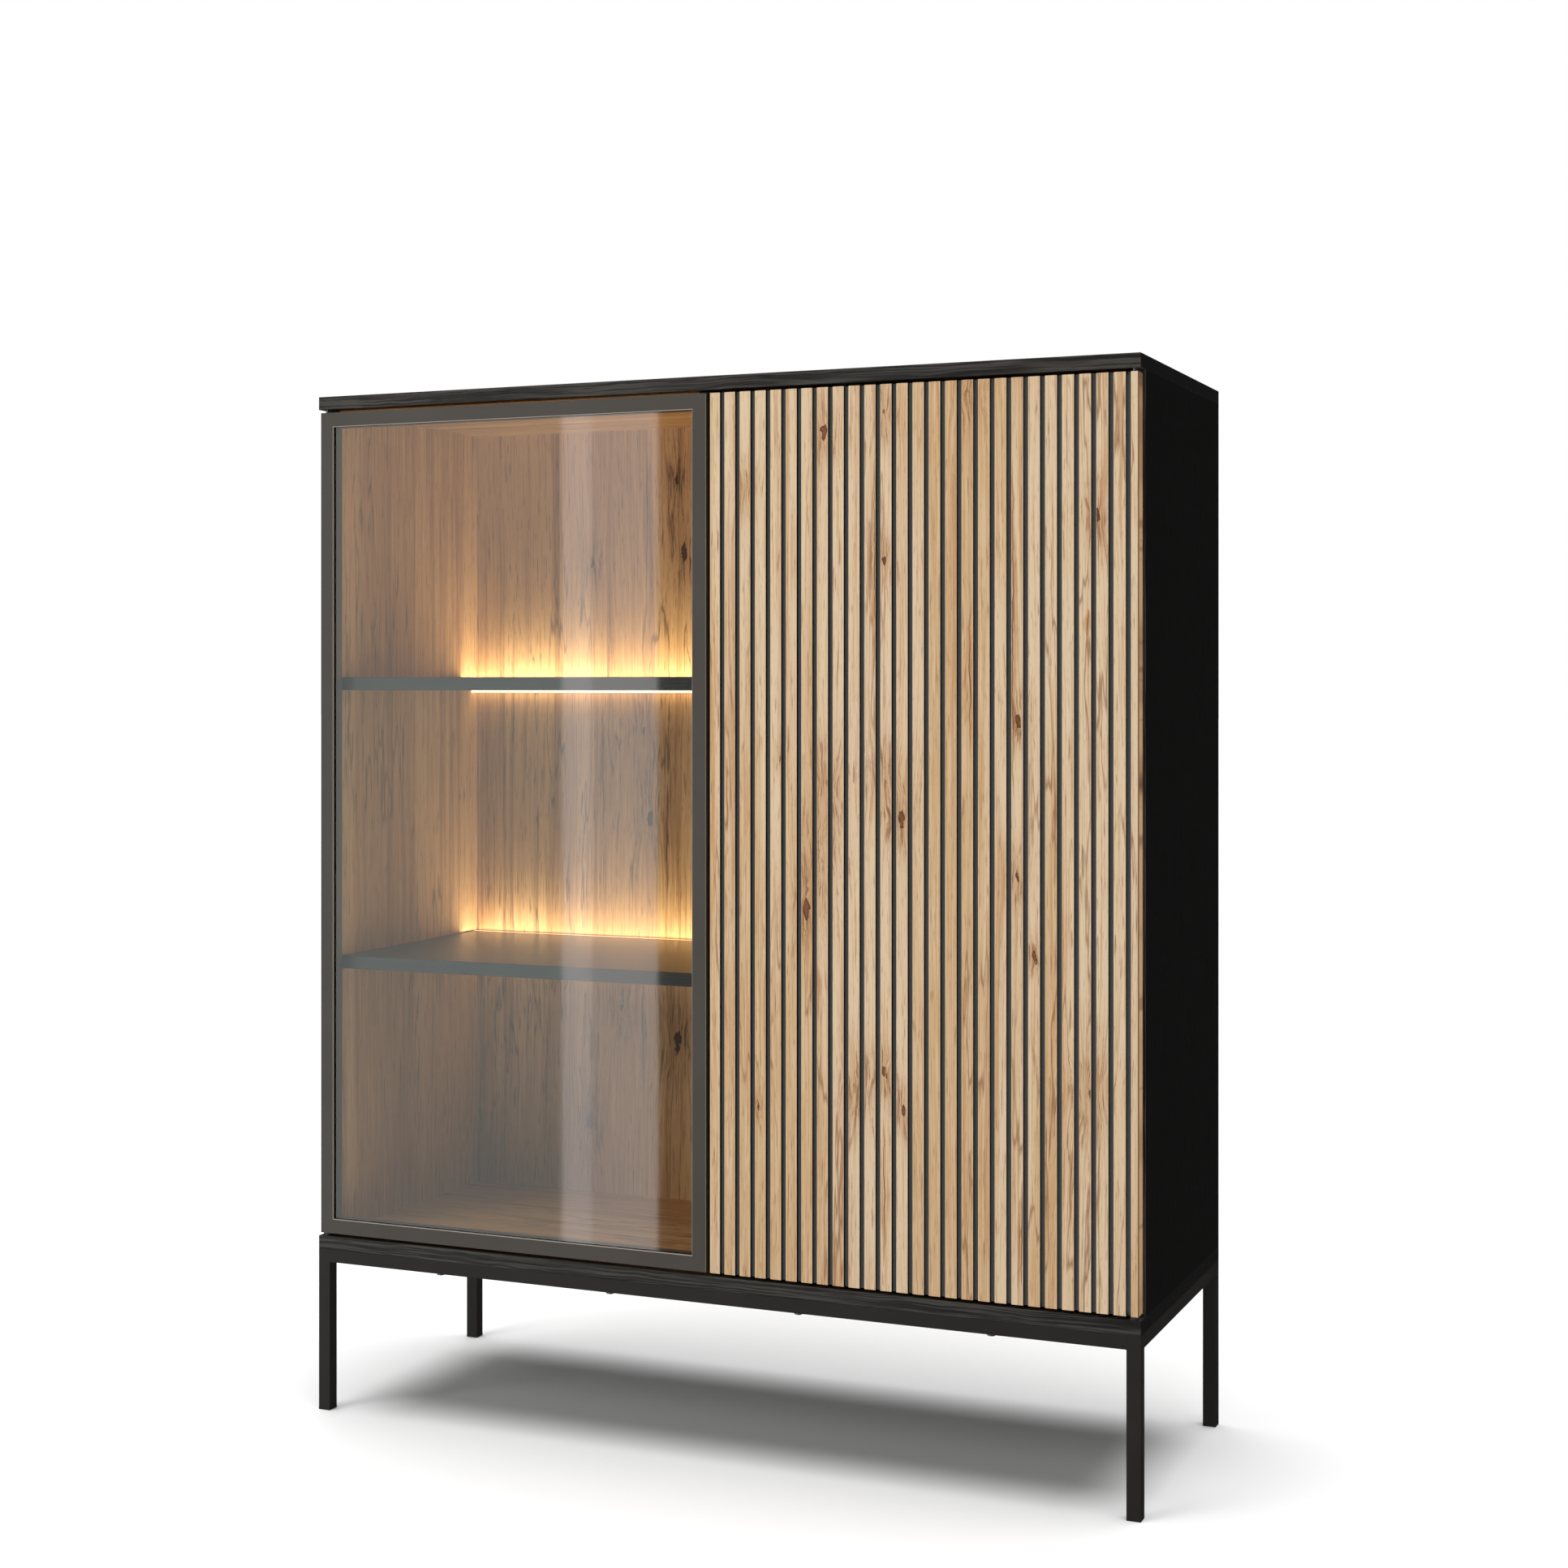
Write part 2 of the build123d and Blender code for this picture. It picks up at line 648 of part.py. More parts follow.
with BuildPart() as corner_cleats:
    for leg_low_x, leg_high_x, bar_low_x, bar_high_x in cleat_ends:
        upright_low_x = bar_low_x + frame_wall + cleat_inset
        upright_high_x = bar_high_x - frame_wall - cleat_inset
        block(at(leg_low_x, cleat_front, cleat_bottom), at(leg_high_x, cleat_back, cleat_window_bottom))
        upright_end = at(upright_high_x, cleat_back, window_bottom + cleat_leg)
        block(at(upright_low_x, cleat_front, cleat_bottom), upright_end)
        block(at(leg_low_x, cleat_front, cleat_window_top), at(leg_high_x, cleat_back, cleat_top))
        upright_start = at(upright_low_x, cleat_front, window_top - cleat_leg)
        block(upright_start, at(upright_high_x, cleat_back, cleat_top))
save(corner_cleats.part, "glass_door_corner_cleats")

with BuildPart() as end_caps:
    end_plate(window_right + frame_wall, glass_right - frame_wall, plate_front, Mode.ADD)
save(end_caps.part, "glass_door_end_caps")

pane_front = glass_groove_front + (glass_groove_width - glass_thickness) / 2
pane_low = at(window_left - glass_hold, pane_front, window_bottom - glass_hold)
pane_high = at(window_right + glass_hold, pane_front + glass_thickness, window_top + glass_hold)

with BuildPart() as glass_pane:
    block(pane_low, pane_high)
    chamfer(glass_pane.edges().filter_by(Axis.Z), pane_chamfer)
save(glass_pane.part, "glass_pane")

with BuildPart() as glass_gasket:
    ring_low = at(window_left - glass_groove_depth, glass_groove_front, window_bottom - glass_groove_depth)
    ring_high = at(window_right + glass_groove_depth, groove_back, window_top + glass_groove_depth)
    block(ring_low, ring_high)
    window_low = at(window_left, glass_groove_front, window_bottom)
    block(window_low, at(window_right, groove_back, window_top), Mode.SUBTRACT)
    block(pane_low, pane_high, Mode.SUBTRACT)
save(glass_gasket.part, "glass_gasket")

# Slatted door: slats glued side by side on a dark backing panel
slat_plate_low = slat_right - stile + frame_wall
slat_plate_high = slat_right - frame_wall

with BuildPart() as slat_door_panel:
    block(at(slat_left, slat_thickness, door_bottom), at(slat_right, door_thickness, door_top))
    end_plate(slat_plate_low, slat_plate_high, slat_thickness, Mode.SUBTRACT)
    strike(latch_x["slat"], Mode.SUBTRACT)
save(slat_door_panel.part, "slat_door_panel")

door_width = slat_right - slat_left
groove_starts = []
groove_start = first_slat
while groove_start + slat_groove < door_width:
    groove_starts.append(slat_left + groove_start)
    groove_start += slat_pitch

with BuildPart() as slats:
    block(at(slat_left, 0, door_bottom), at(slat_right, slat_thickness, door_top))
    for start in groove_starts:
        block(at(start, 0, door_bottom), at(start + slat_groove, slat_thickness, door_top), Mode.SUBTRACT)
    front_edges = slats.edges().filter_by(Axis.Z).group_by(Axis.Y)[0]
    chamfer(front_edges, slat_bevel)
save(slats.part, "slat_door_slats")

# Pivot hinges: plates with pins in the doors, flanged bushes in the boards
plate_ends = {
    "glass": (glass_left + frame_wall, window_left - frame_wall, plate_front),
    "slat": (slat_plate_low, slat_plate_high, slat_thickness),
}

for door, (low_x, high_x, plate_start) in plate_ends.items():
    x = pivot_x[door]
    with BuildPart() as pivots:
        end_plate(low_x, high_x, plate_start, Mode.ADD)
        pin_top = at(x, pivot_from_front, door_top + pin_reach)
        rod(at(x, pivot_from_front, door_top - plate_thickness), pin_top, pin_radius)
        pin_bottom = at(x, pivot_from_front, door_bottom - pin_reach)
        rod(at(x, pivot_from_front, door_bottom + plate_thickness), pin_bottom, pin_radius)
    save(pivots.part, f"{door}_door_pivots")

    with BuildPart() as bushes:
        pivot_bush(x, 1, Mode.ADD, bored=True)
        pivot_bush(x, -1, Mode.ADD, bored=True)
    save(bushes.part, f"{door}_door_bushes")

# Push latches under the top board, one each side of the divider
bore_end = latch_front + latch_length - latch_end_wall
plunger_front = door_thickness + plunger_gap
shoulder = plunger_front + plunger_head
spring_start = shoulder + spring_from_shoulder

for door in ("glass", "slat"):
    x = latch_x[door]
    with BuildPart() as housing:
        half = latch_width / 2
        housing_low = at(x - half, latch_front, ceiling_z - latch_drop)
        block(housing_low, at(x + half, latch_front + latch_length, ceiling_z))
        long_edges = housing.edges().filter_by(Axis.Y).group_by(Axis.Z)[0]
        chamfer(long_edges, latch_chamfer)
        latch_pegs(x, Mode.ADD)
        rod(at(x, latch_front, latch_z), at(x, bore_end, latch_z), plunger_bore, Mode.SUBTRACT)
    save(housing.part, f"{door}_door_latch_housing")

    with BuildPart() as plunger:
        rod(at(x, plunger_front, latch_z), at(x, shoulder, latch_z), plunger_radius)
        rod(at(x, shoulder, latch_z), at(x, shoulder + plunger_tail, latch_z), tail_radius)
        tip_edge = plunger.edges().filter_by(GeomType.CIRCLE).sort_by(Axis.Y)[0]
        fillet(tip_edge, plunger_tip_radius)
    save(plunger.part, f"{door}_door_latch_plunger")

    with BuildPart() as strike_disc:
        strike(x, Mode.ADD)
    save(strike_disc.part, f"{door}_door_strike")

springs = []
for door in ("glass", "slat"):
    x = latch_x[door]
    spring_end = at(x, spring_start, latch_z)
    with BuildPart() as spring:
        with BuildLine() as coil:
            Helix(spring_pitch, spring_length, spring_radius, center=spring_end, direction=(0, 1, 0))
        with BuildSketch(Plane(origin=coil.line @ 0, z_dir=coil.line % 0)):
            Circle(wire_radius)
        sweep(is_frenet=True)
    springs.append(spring.part)
save(Compound(children=springs), "latch_springs")

print("slats:", len(slats.part.solids()), " grooves:", len(groove_starts))
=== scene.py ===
import json
import math

import bpy
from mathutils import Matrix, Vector


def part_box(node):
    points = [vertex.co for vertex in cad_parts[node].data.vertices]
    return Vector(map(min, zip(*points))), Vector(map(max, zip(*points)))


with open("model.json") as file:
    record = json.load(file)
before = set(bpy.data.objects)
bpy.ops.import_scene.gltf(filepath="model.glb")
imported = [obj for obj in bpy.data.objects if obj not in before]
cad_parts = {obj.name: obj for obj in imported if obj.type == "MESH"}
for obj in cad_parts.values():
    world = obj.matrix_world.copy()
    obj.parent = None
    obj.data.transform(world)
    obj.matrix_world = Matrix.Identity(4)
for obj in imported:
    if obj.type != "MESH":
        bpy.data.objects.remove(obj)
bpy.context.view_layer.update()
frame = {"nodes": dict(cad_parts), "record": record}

# A highboard on a steel tube base: dark embossed oak outside, light oak inside, a lit bay
# behind a glass door and a bay behind a slatted oak door. Metres, the same frame as the CAD.

# Places that the finishes need, read from the frame
side_low, side_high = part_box("left_side_panel")
inner_left = side_high.x
inner_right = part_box("right_side_panel")[0].x
carcass_front = side_low.y
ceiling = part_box("top_board")[0].z
bay_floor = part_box("bottom_board")[1].z
back_panel_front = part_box("left_back_panel")[0].y
slats_low, slats_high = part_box("slat_door_slats")

HAIR = 0.0004       # a face's own plane is told from its neighbours' by this distance
# Which way a face looks, by its direction's share along an axis
SQUARE_ON = 0.9     # above this it looks along the axis, to one side or the other
TURNED = 0.3        # between this and SQUARE_ON it is on a bevel
FLAT_FRONT = 0.92   # above this it is the flat front of a metal bar, below it the bar's edge
FORWARD = -0.5      # below this along Y it is a front


# ---------------------------------------------------------------- shader maths
class Value:
    """A number that varies over a surface: sums and products of it add Math nodes."""

    def __init__(self, finish, socket):
        self.finish = finish
        self.socket = socket

    def math(self, operation, *others):
        return self.finish.math(operation, self, *others)

    def __add__(self, other):
        return self.math("ADD", other)

    def __sub__(self, other):
        return self.math("SUBTRACT", other)

    def __rsub__(self, other):
        return self.finish.math("SUBTRACT", other, self)

    def __mul__(self, other):
        return self.math("MULTIPLY", other)

    def __truediv__(self, other):
        return self.math("DIVIDE", other)

    def __abs__(self):
        return self.math("ABSOLUTE")

    __radd__ = __add__
    __rmul__ = __mul__

    def rise(self, low, high):
        """0 below low, 1 above high, smooth between; turned round if low is above high."""
        if low > high:
            return 1 - self.rise(high, low)
        steps = {"interpolation_type": "SMOOTHSTEP"}
        return self.finish.node("ShaderNodeMapRange", steps, {0: self, 1: low, 2: high})

    def clamped(self):
        return self.finish.node("ShaderNodeClamp", {}, {0: self})

    def above(self, limit):
        """1 where the value is above a limit, 0 elsewhere."""
        return self.math("GREATER_THAN", limit)

    def below(self, limit):
        """1 where the value is below a limit, 0 elsewhere."""
        return self.math("LESS_THAN", limit)


class Tree:
    """A node tree while it is made."""

    def __init__(self, tree):
        self.tree = tree
        self.tree.nodes.clear()

    def node(self, kind, settings, sockets, output=0):
        """Adds a node: its settings first, then the values or links of its sockets."""
        made = self.tree.nodes.new(kind)
        for name, setting in settings.items():
            setattr(made, name, setting)
        for name, given in sockets.items():
            if isinstance(given, Value):
                self.tree.links.new(given.socket, made.inputs[name])
            else:
                made.inputs[name].default_value = given
        return Value(self, made.outputs[output]) if made.outputs else None


class Finish(Tree):
    """One material while it is made."""

    def __init__(self, name):
        self.material = bpy.data.materials.new(name)
        self.material.use_nodes = True
        super().__init__(self.material.node_tree)
        place = self.node("ShaderNodeTexCoord", {}, {}, output="Object")
        self.x, self.y, self.z = self.split(place)
        facing = self.node("ShaderNodeTexCoord", {}, {}, output="Normal")
        self.facing_x, self.facing_y, self.facing_z = self.split(facing)

    def math(self, operation, *terms):
        return self.node("ShaderNodeMath", {"operation": operation}, dict(enumerate(terms)))

    def split(self, vector):
        first = self.node("ShaderNodeSeparateXYZ", {}, {0: vector})
        parts = first.socket.node.outputs
        return [Value(self, parts[axis]) for axis in range(3)]

    def vector(self, x, y, z):
        return self.node("ShaderNodeCombineXYZ", {}, {0: x, 1: y, 2: z})

    def noise(self, x, y, z, detail=2.0, roughness=0.5):
        place = self.vector(x, y, z)
        sockets = {"Vector": place, "Scale": 1.0, "Detail": detail, "Roughness": roughness}
        return self.node("ShaderNodeTexNoise", {}, sockets)

    def blend(self, first, second, factor):
        """The colour between two colours."""
        sockets = {0: factor, 6: first, 7: second}
        return self.node("ShaderNodeMix", {"data_type": "RGBA"}, sockets, output=2)

    def bump(self, height, distance, strength):
        sockets = {"Height": height, "Distance": distance, "Strength": strength}
        return self.node("ShaderNodeBump", {}, sockets)

    def surface(self, shader):
        self.node("ShaderNodeOutputMaterial", {}, {"Surface": shader})
        return self.material

    def coat_of(self, **sockets):
        """The usual shader; a socket's name is written with underscores."""
        named = {name.replace("_", " "): given for name, given in sockets.items()}
        return self.surface(self.node("ShaderNodeBsdfPrincipled", {}, named))


def paint(red, green, blue):
    """A colour given on a 0 to 255 scale, as the linear colour that shaders use."""
    shares = [c / 255 for c in (red, green, blue)]
    linear = [c / 12.92 if c <= 0.04045 else ((c + 0.055) / 1.055) ** 2.4 for c in shares]
    return (*linear, 1.0)


# ---------------------------------------------------------------- oak
OAK = {
    "pale": paint(210, 186, 154),
    "mid": paint(196, 162, 120),
    "warm": paint(178, 130, 84),
    "dark": paint(132, 86, 50),
    "knot": paint(84, 46, 25),
}
INNER_OAK = {
    "pale": paint(214, 170, 120),
    "mid": paint(188, 142, 92),
    "warm": paint(154, 108, 64),
    "dark": paint(88, 56, 33),
    "knot": paint(50, 30, 19),
}
CHECK_WIDTH = 0.0008    # a crack's width at its middle
STAIN_WIDTH = 0.009     # how far the stain reaches on each side of it
THINNEST = 0.00005      # what both narrow to at the ends
VEIN_WIDTH = 0.020      # how close to its middle the noise of the veins has to be
KNOT_STRETCH = 0.40     # a knot's width by its height
SWIRL_REACH = 0.055     # the smaller, the wider the swirl round a knot
SWIRL_PULL = 0.55       # how far a knot pushes the grain aside
CURL_DEPTH = 0.020      # how far the grain wanders inside a swirl
DRIFT = 0.035           # how far it leans over the length of a board
RAGGEDNESS = 0.011      # how rough a knot's outline is
WANDER = 0.007          # how far a crack strays from a straight line

# The noises of a board: how fast each changes across the grain and along it, per metre, its
# distance from the board's seed, its detail and its roughness
NOISES = {
    "drift": (3.1, 0.9, 0.0, 2, 0.5),
    "fibres": (560, 7.0, 0.0, 2, 0.6),
    "rings": (95, 1.4, 3.1, 3, 0.6),
    "bands": (15, 0.45, 7.7, 2, 0.5),
    "streaks": (48, 0.9, 2.2, 2, 0.5),
    "pores": (900, 46.0, 1.3, 2, 0.5),
    "dashes": (420, 19.0, 5.5, 2, 0.5),
    "veins": (44, 3.2, 12.5, 3, 0.5),
    "veined": (11, 2.4, 13.5, 1, 0.5),
    "swirl": (46, 17.0, 4.4, 2, 0.5),
    "curls": (420, 24.0, 2.7, 3, 0.6),
    "outline": (170, 80.0, 9.1, 3, 0.65),
}
# The masks cut from the noises of the grain: a noise, the level where the mask starts, and
# the level where it is full
GRAIN_MASKS = {
    "rings": ("rings", 0.50, 0.78),
    "bands": ("bands", 0.43, 0.55),
    "streaks": ("streaks", 0.59, 0.66),
    "pale_fibres": ("fibres", 0.52, 0.34),
    "warm_fibres": ("fibres", 0.50, 0.68),
    "pores": ("pores", 0.60, 0.70),
    "dashes": ("dashes", 0.64, 0.71),
}
# The layers of colour, from the first to the last: a mask, the tone that it brings, and how
# much of that tone
OAK_LAYERS = (
    ("bands", "mid", 1.0),
    ("rings", "warm", 0.60),
    ("streaks", "warm", 0.65),
    ("stain", "warm", 0.75),
    ("pale_fibres", "pale", 0.60),
    ("warm_fibres", "warm", 0.55),
    ("veins", "dark", 0.75),
    ("dashes", "dark", 0.60),
    ("pores", "dark", 0.45),
    ("swirl", "warm", 0.45),
    ("curls", "dark", 0.80),
    ("knot", "knot", 0.92),
    ("heart", "dark", 0.65),
    ("checks", "knot", 0.85),
)
# How much each mask raises the face; below 0 it cuts in
OAK_RELIEF = (
    ("fibres", 0.5),
    ("pores", -0.6),
    ("dashes", -0.4),
    ("curls", -0.4),
    ("knot", -0.8),
    ("checks", -1.0),
)


def total(values):
    """The sum of values; sum() alone would start from 0 and add a node for it."""
    return sum(values[1:], values[0])


def board_noise(f, name, across, along, seed):
    fine, long, offset, detail, roughness = NOISES[name]
    return f.noise(across * fine, along * long, seed + offset, detail, roughness)


def knot_figure(f, along, across, lane, knots, seed):
    """The grain's lanes bent round the knots, and the masks of the knots."""
    ragged = (board_noise(f, "outline", across, along, seed) - 0.5) * RAGGEDNESS
    cores = []
    swirls = []
    for height, side, size, strength in knots:
        rise = (along - height) * KNOT_STRETCH + ragged
        run = across - side + ragged
        spread = rise * rise + run * run
        near = f.math("EXPONENT", spread * (-SWIRL_REACH / size**2))
        lane = lane + run * near * SWIRL_PULL
        cores.append(f.math("EXPONENT", spread * (-1.0 / size**2)) * strength)
        swirls.append(near)
    knot = total(cores)
    swirl = total(swirls)
    lane = lane + (board_noise(f, "swirl", across, along, seed) - 0.5) * swirl * CURL_DEPTH
    curls = board_noise(f, "curls", lane, along, seed)
    masks = {
        "swirl": swirl.clamped(),
        "curls": curls.rise(0.50, 0.62) * swirl.rise(0.15, 0.80),
        "knot": knot.rise(0.34, 0.46),
        "heart": knot.rise(0.58, 0.80),
    }
    return lane, masks


def check_figure(f, along, across, checks, seed):
    """The masks of the cracks along the grain and of the stain beside them."""
    wander = (f.noise(along * 34, across * 9, seed + 6.6, detail=3) - 0.5) * WANDER
    cracks = []
    stains = []
    for height, side, length in checks:
        reach = (1 - abs((along - height) / length)).clamped()
        gap = abs(across - side + wander)
        cracks.append((1 - gap / (reach * CHECK_WIDTH + THINNEST)).clamped())
        stains.append((1 - gap / (reach * STAIN_WIDTH + THINNEST)).clamped())
    return {"checks": total(cracks).rise(0.05, 0.5), "stain": total(stains).rise(0.0, 0.7)}


def oak_figure(f, along, across, knots, checks, seed):
    """The figure of an oak board: named masks, each from 0 to 1."""
    lane = across + (board_noise(f, "drift", across, along, seed) - 0.5) * DRIFT
    figure = {}
    if knots:
        lane, figure = knot_figure(f, along, across, lane, knots, seed)
    if checks:
        figure.update(check_figure(f, along, across, checks, seed))
    names = ("fibres", "rings", "bands", "streaks", "pores", "dashes", "veins")
    grain = {name: board_noise(f, name, lane, along, seed) for name in names}
    figure["fibres"] = grain["fibres"]
    for mask, (noise, start, full) in GRAIN_MASKS.items():
        figure[mask] = grain[noise].rise(start, full)
    veins = (1 - abs(grain["veins"] - 0.5) / VEIN_WIDTH).clamped()
    figure["veins"] = veins * board_noise(f, "veined", across, along, seed).rise(0.48, 0.58)
    return figure


def oak(f, tones, along, across, knots, checks, seed):
    """An oak face's colour, and the height of its grain."""
    figure = oak_figure(f, along, across, knots, checks, seed)
    colour = tones["pale"]
    for mask, tone, share in OAK_LAYERS:
        if mask in figure:
            colour = f.blend(colour, tones[tone], figure[mask] * share)
    relief = total([figure[mask] * height for mask, height in OAK_RELIEF if mask in figure])
    return colour, relief


def dark_oak(f, along, across, seed):
    """Black-brown oak with a wavy embossed grain."""
    wander = f.noise(across * 24, along * 11, seed, detail=2)
    lane = across + (wander - 0.5) * 0.009
    grain = f.noise(lane * 430, along * 5, seed + 4.0, detail=2, roughness=0.6)
    ridges = grain.rise(0.40, 0.60)
    pores = f.noise(lane * 1200, along * 30, seed + 6.0, detail=1).rise(0.58, 0.72)
    colour = f.blend(paint(66, 62, 57), paint(29, 26, 24), ridges)
    colour = f.blend(colour, paint(18, 16, 15), pores * 0.6)
    return colour, 1 - ridges * 0.8 - pores * 0.4


# Knots: height, place across, half width, and darkness; a low darkness leaves only a swirl.
# Checks, which are cracks with a stain beside them: height, place across, half length.
# Across is counted from the hinge edge on the slatted door, along X on the back panel, and
# as X + Y on the walls.
SLAT_KNOTS = (
    (1.225, 0.192, 0.0045, 0.40),
    (1.205, 0.290, 0.0035, 0.45),
    (1.185, 0.362, 0.0042, 1.00),
    (1.123, 0.457, 0.0035, 0.30),
    (1.085, 0.046, 0.0040, 0.70),
    (1.040, 0.290, 0.0025, 0.80),
    (0.860, 0.134, 0.0035, 0.80),
    (0.815, 0.416, 0.0018, 0.80),
    (0.788, 0.358, 0.0055, 0.42),
    (0.789, 0.288, 0.0048, 0.42),
    (0.748, 0.269, 0.0040, 1.00),
    (0.710, 0.366, 0.0050, 0.35),
    (0.690, 0.135, 0.0035, 0.50),
    (0.645, 0.384, 0.0045, 1.00),
    (0.602, 0.115, 0.0022, 0.90),
    (0.466, 0.290, 0.0030, 0.80),
    (0.446, 0.325, 0.0050, 0.40),
    (0.423, 0.267, 0.0028, 0.90),
    (0.455, 0.052, 0.0055, 0.45),
    (0.418, 0.444, 0.0018, 0.80),
)
SLAT_CHECKS = (
    (1.035, 0.302, 0.130),
    (0.905, 0.189, 0.085),
    (0.960, 0.140, 0.190),
    (0.330, 0.290, 0.085),
    (0.470, 0.048, 0.022),
    (0.967, 0.056, 0.016),
    (1.125, 0.452, 0.030),
    (0.300, 0.130, 0.060),
    (0.560, 0.372, 0.030),
)
BACK_KNOTS = (
    (1.170, -0.201, 0.0035, 0.70),
    (1.075, -0.190, 0.0050, 1.00),
    (1.065, -0.326, 0.0040, 0.60),
    (0.836, -0.250, 0.0060, 0.45),
    (0.720, -0.240, 0.0045, 1.00),
    (0.655, -0.058, 0.0060, 1.00),
    (0.468, -0.283, 0.0055, 0.50),
    (0.425, -0.200, 0.0060, 0.90),
    (0.310, -0.330, 0.0050, 0.80),
    (0.735, 0.215, 0.0060, 1.00),
)
BACK_CHECKS = (
    (1.120, -0.245, 0.090),
    (0.960, -0.300, 0.110),
    (1.050, -0.160, 0.080),
    (0.690, -0.215, 0.080),
    (0.780, -0.310, 0.090),
    (0.440, -0.250, 0.090),
    (0.360, -0.170, 0.070),
)
WALL_KNOTS = ((0.950, 0.050, 0.0050, 0.8), (0.500, -0.060, 0.0060, 0.8))
WALL_CHECKS = ((0.700, 0.020, 0.060), (1.080, -0.080, 0.050))


# ---------------------------------------------------------------- finishes
SMOOTHER = 0.25     # the light oak's relief by that of the embossed dark oak
BOTH_FACES = 1.9    # how much more a pane reflects than one of its faces


def board_finish(name, along_axis, gloss, knots=(), checks=()):
    """A carcass board: dark oak outside and light oak on the faces inside the bays."""
    f = Finish(name)
    if along_axis == "x":
        along = f.x
        across = f.y + f.z
    else:
        along = f.z
        across = f.y + f.x
    dark, dark_relief = dark_oak(f, along, across, seed=2.0)
    light, light_relief = oak(f, INNER_OAK, along, across, knots, checks, seed=11.0)
    # Painted shade: every outside face that looks along X, the side faces and the board ends, is
    # darkened almost to black.
    dark = f.blend(dark, paint(13, 11, 10), abs(f.facing_x).above(SQUARE_ON) * 0.95)
    inside = f.x.above(inner_left - HAIR) * f.x.below(inner_right + HAIR)
    inside = inside * f.z.above(bay_floor - HAIR) * f.z.below(ceiling + HAIR)
    inside = inside * f.y.above(carcass_front - HAIR)
    inside = inside * f.facing_y.above(FORWARD)
    colour = f.blend(dark, light, inside)
    relief = dark_relief * (1 - inside) + light_relief * inside * SMOOTHER
    return f.coat_of(
        Base_Color=colour,
        Roughness=0.44 + 0.08 * relief,
        Specular_IOR_Level=gloss,
        Normal=f.bump(relief, distance=0.0004, strength=0.9),
    )


def back_panel_finish():
    f = Finish("oak_back")
    colour, relief = oak(f, INNER_OAK, f.z, f.x, BACK_KNOTS, BACK_CHECKS, seed=5.0)
    behind = f.y.above(back_panel_front + 0.001)
    fibreboard = f.noise(f.x * 300, f.z * 300, 1.0).rise(0.3, 0.7)
    plain = f.blend(paint(120, 96, 70), paint(104, 82, 60), fibreboard)
    colour = f.blend(colour, plain, behind)
    return f.coat_of(
        Base_Color=colour,
        Roughness=0.55 + 0.08 * relief,
        Normal=f.bump(relief, distance=0.0001, strength=0.4),
    )


def shelf_finish():
    f = Finish("black_shelf")
    lane = f.y + f.z
    grain = f.noise(lane * 600, f.x * 9, 3.0, detail=2)
    speck = f.noise(f.x * 900, f.y * 900, f.z * 900, detail=1)
    colour = f.blend(paint(48, 46, 44), paint(38, 36, 34), grain.rise(0.35, 0.65))
    return f.coat_of(
        Base_Color=colour,
        Roughness=0.28 + 0.08 * speck,
        Normal=f.bump(grain + speck * 0.4, distance=0.0001, strength=0.5),
    )


def slat_finish():
    """Light oak with the figure running on from slat to slat, black inside the grooves."""
    f = Finish("slat_oak")
    from_hinge = slats_high.x - f.x
    colour, relief = oak(f, OAK, f.z, from_hinge, SLAT_KNOTS, SLAT_CHECKS, seed=8.0)
    shaded_end = f.x.below(slats_low.x + HAIR)
    shaded_end = shaded_end + f.x.above(slats_high.x - HAIR)
    groove = abs(f.facing_x).above(SQUARE_ON) * (1 - shaded_end)
    # Painted highlight: the bevels along the slats' edges are painted a pale cream.
    bevel_highlight = abs(f.facing_x).above(TURNED) * (1 - abs(f.facing_x).above(SQUARE_ON))
    colour = f.blend(colour, paint(236, 212, 180), bevel_highlight * 0.55)
    # Painted shade: the outer side faces of the two end slats are darkened to a deep brown.
    colour = f.blend(colour, paint(112, 76, 48), shaded_end * 0.85)
    colour = f.blend(colour, paint(10, 9, 8), groove)
    return f.coat_of(
        Base_Color=colour,
        Roughness=0.55 + 0.10 * relief,
        Specular_IOR_Level=0.3,
        Normal=f.bump(relief, distance=0.00015, strength=0.5),
    )


def slat_panel_finish():
    """The slatted door's board: charcoal behind the grooves, oak at its edges and back."""
    f = Finish("slat_board")
    colour, relief = oak(f, INNER_OAK, f.z, f.x, (), (), seed=14.0)
    face = f.facing_y.below(FORWARD)
    speck = f.noise(f.x * 700, f.z * 700, 2.0, detail=2)
    charcoal = f.blend(paint(78, 78, 77), paint(92, 91, 88), speck.rise(0.35, 0.65))
    return f.coat_of(
        Base_Color=f.blend(colour, charcoal, face),
        Roughness=0.55 + 0.08 * speck,
        Normal=f.bump(relief * (1 - face) + speck * face, distance=0.0002, strength=0.5),
    )


def coated_metal(name, colour, lighter, roughness, grain, metallic=0.0, edge_highlight=0.0):
    """A sprayed or powder-coated metal with a faint orange-peel skin.

    Where the last argument is above 0, the bevels round its front edges are painted paler: a
    painted highlight.
    """
    f = Finish(name)
    skin = f.noise(f.x * grain, f.y * grain, f.z * grain, detail=2)
    cloud = f.noise(f.x * 9, f.y * 9, f.z * 9, detail=3)
    coat = f.blend(colour, lighter, cloud.rise(0.35, 0.70) * 0.6 + skin * 0.15)
    if edge_highlight:
        # Painted highlight: a pale colour on the bevelled front edges, by the amount given.
        slope = abs(f.facing_y)
        highlit_edge = slope.above(TURNED) * slope.below(FLAT_FRONT)
        coat = f.blend(coat, paint(196, 186, 172), highlit_edge * edge_highlight)
    return f.coat_of(
        Base_Color=coat,
        Roughness=roughness + 0.10 * cloud,
        Metallic=metallic,
        Normal=f.bump(skin, distance=0.00008, strength=0.6),
    )


